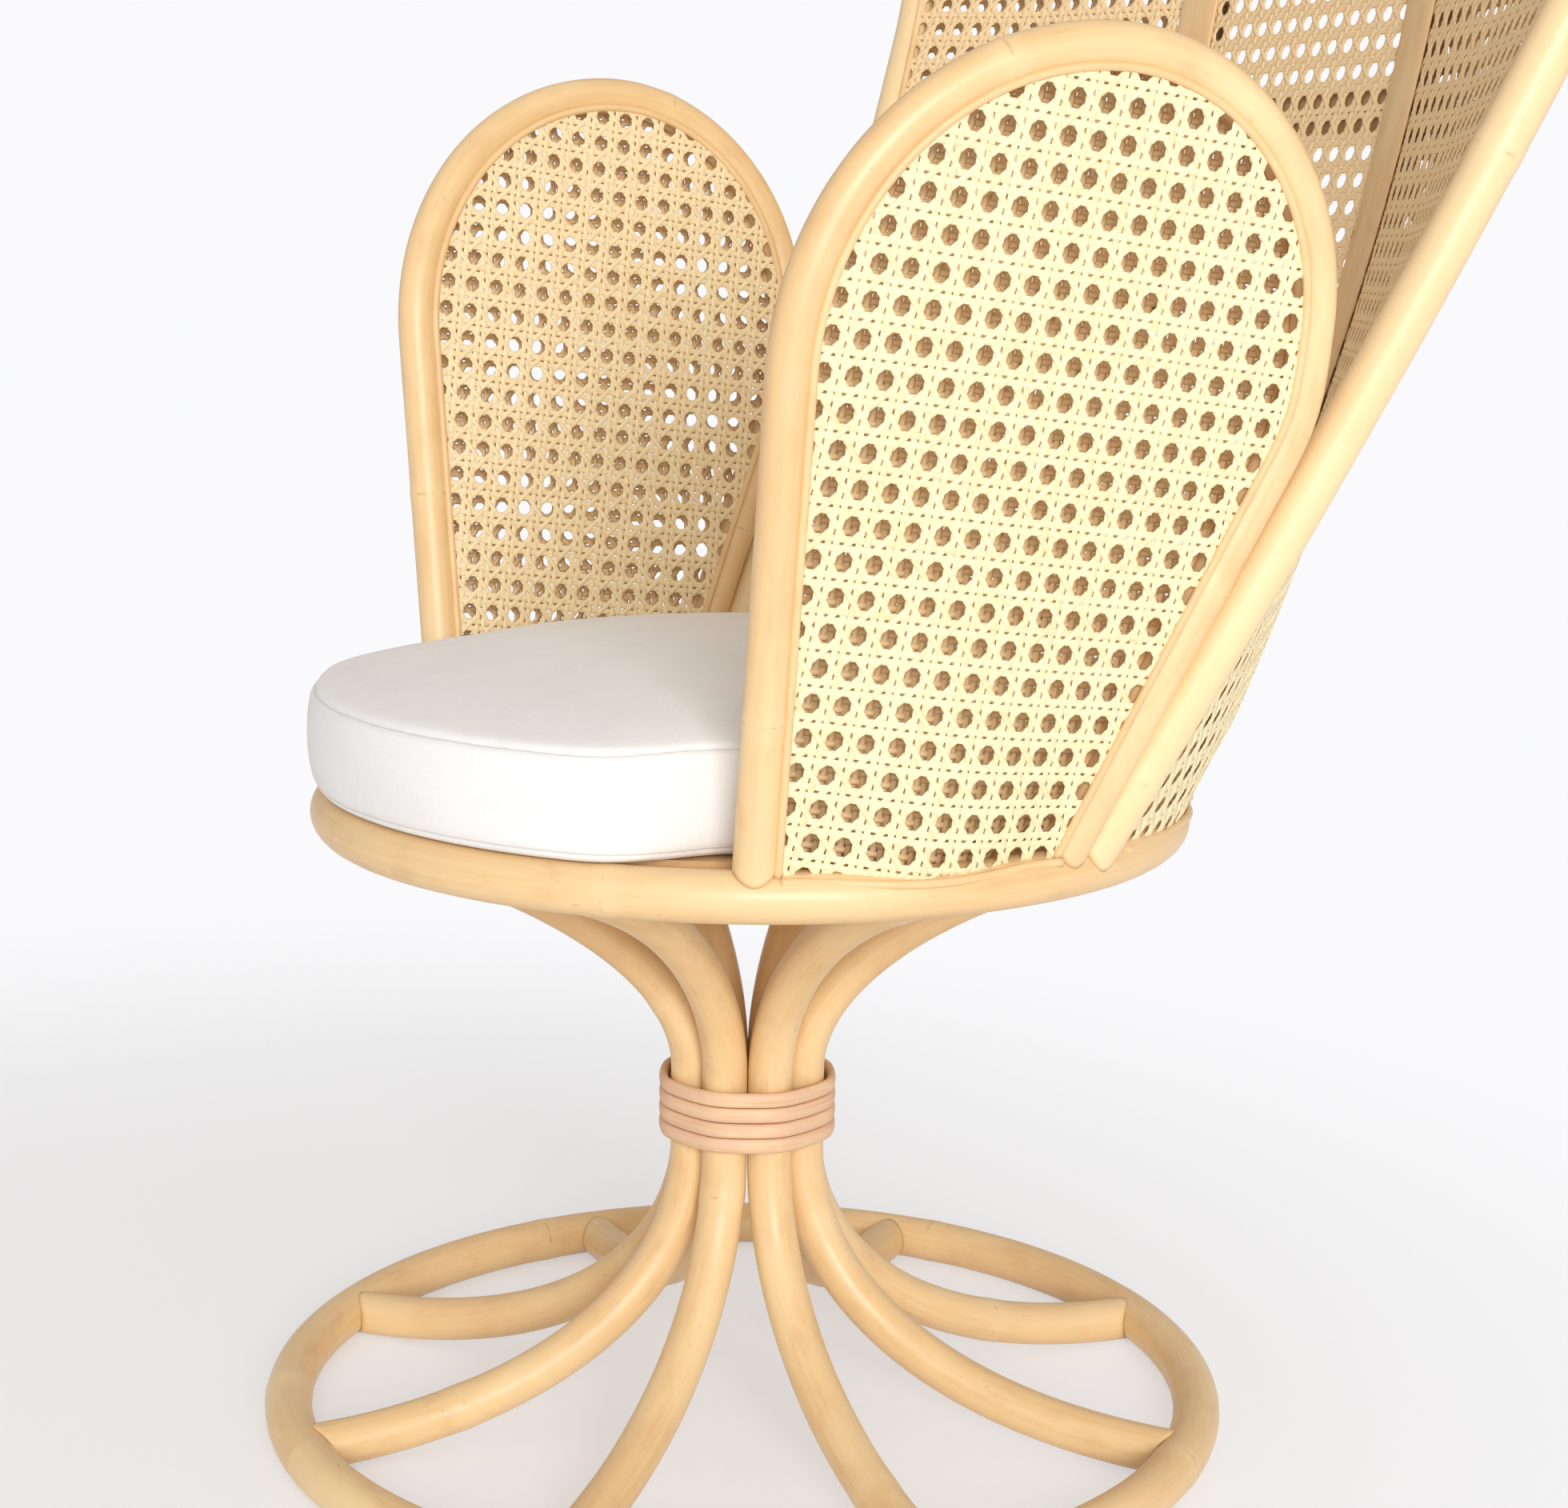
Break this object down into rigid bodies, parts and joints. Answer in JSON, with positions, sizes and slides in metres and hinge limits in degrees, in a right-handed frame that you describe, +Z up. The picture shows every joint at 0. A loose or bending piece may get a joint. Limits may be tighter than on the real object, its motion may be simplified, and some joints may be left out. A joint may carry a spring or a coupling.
{
  "type": "peacock chair",
  "caption": "High-backed rattan peacock chair with a flared cane back, petal-shaped cane arms, a bound pedestal of curved legs and a loose round cushion.",
  "frame": {"origin": "on the floor under the middle of the chair's box", "axes": "+Z up, the sitter faces -Y, +X towards the sitter's left"},
  "size_m": [0.776, 0.7486, 1.1981],
  "materials": {
    "pole": "satin lacquered rattan pole",
    "trim": "satin split rattan",
    "dowel": "plain turned wood",
    "cane": "woven cane webbing",
    "binding": "flat binding cane",
    "deck": "plain thin board",
    "cushion_cover": "plain white woven cover"
  },
  "bodies": {
    "frame": {"floor_ring": "pole", "seat_ring": "pole", "leg_1": "pole", "leg_2": "pole", "leg_3": "pole", "leg_4": "pole", "leg_5": "pole", "leg_6": "pole", "leg_7": "pole", "leg_8": "pole", "left_arm_frame": "pole", "right_arm_frame": "pole", "back_arch": "pole", "back_rib_left": "pole", "back_rib_right": "pole", "back_strip_left": "pole", "back_strip_right": "pole", "back_brace_centre": "pole", "back_brace_left": "pole", "back_brace_right": "pole", "left_arm_bead_outer": "trim", "left_arm_bead_inner": "trim", "right_arm_bead_outer": "trim", "right_arm_bead_inner": "trim", "left_arm_sill": "trim", "right_arm_sill": "trim", "back_sill_centre": "trim", "back_sill_left": "trim", "back_sill_right": "trim", "back_bead": "trim", "leg_1_floor_pin": "dowel", "leg_1_seat_pin": "dowel", "leg_2_floor_pin": "dowel", "leg_2_seat_pin": "dowel", "leg_3_floor_pin": "dowel", "leg_3_seat_pin": "dowel", "leg_4_floor_pin": "dowel", "leg_4_seat_pin": "dowel", "leg_5_floor_pin": "dowel", "leg_5_seat_pin": "dowel", "leg_6_floor_pin": "dowel", "leg_6_seat_pin": "dowel", "leg_7_floor_pin": "dowel", "leg_7_seat_pin": "dowel", "leg_8_floor_pin": "dowel", "leg_8_seat_pin": "dowel", "left_arm_cane_outer": "cane", "left_arm_cane_inner": "cane", "right_arm_cane_outer": "cane", "right_arm_cane_inner": "cane", "back_cane_centre": "cane", "back_cane_left": "cane", "back_cane_right": "cane", "waist_binding": "binding", "seat_deck": "deck"},
    "cushion": {"seat_cushion": "cushion_cover"}
  },
  "joints": [
    {"name": "cushion_lift", "type": "slide", "parent": "frame", "child": "cushion", "axis": [0, 0, 1], "range_m": [0, 0.3]}
  ]
}
